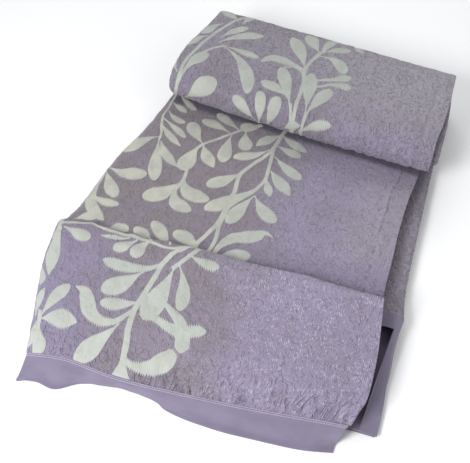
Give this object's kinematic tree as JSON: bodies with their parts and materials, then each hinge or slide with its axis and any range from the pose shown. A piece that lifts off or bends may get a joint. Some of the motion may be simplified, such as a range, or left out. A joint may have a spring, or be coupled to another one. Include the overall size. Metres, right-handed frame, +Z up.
{
  "type": "bedspread",
  "caption": "Woven lilac bedspread with a leaf pattern and plain hem bands, folded away flat with a thick rolled fold at its far end.",
  "frame": {"origin": "centre of the bounding box in plan, on the surface that the bedspread lies on", "axes": "+Y along the folded strip, from the front hem to the rolled far end; +Z up; +X to the right seen from the front hem"},
  "size_m": [0.7047, 1.0976, 0.1409],
  "materials": {
    "woven_cloth": "puckered matt cotton jacquard, lilac with off-white leaves",
    "front_hem_band": "plain smooth lilac cotton",
    "under_hem_band": "plain smooth lilac cotton"
  },
  "bodies": {
    "root": {"woven_cloth": "woven_cloth", "front_hem_band": "front_hem_band", "under_hem_band": "under_hem_band"}
  },
  "joints": []
}
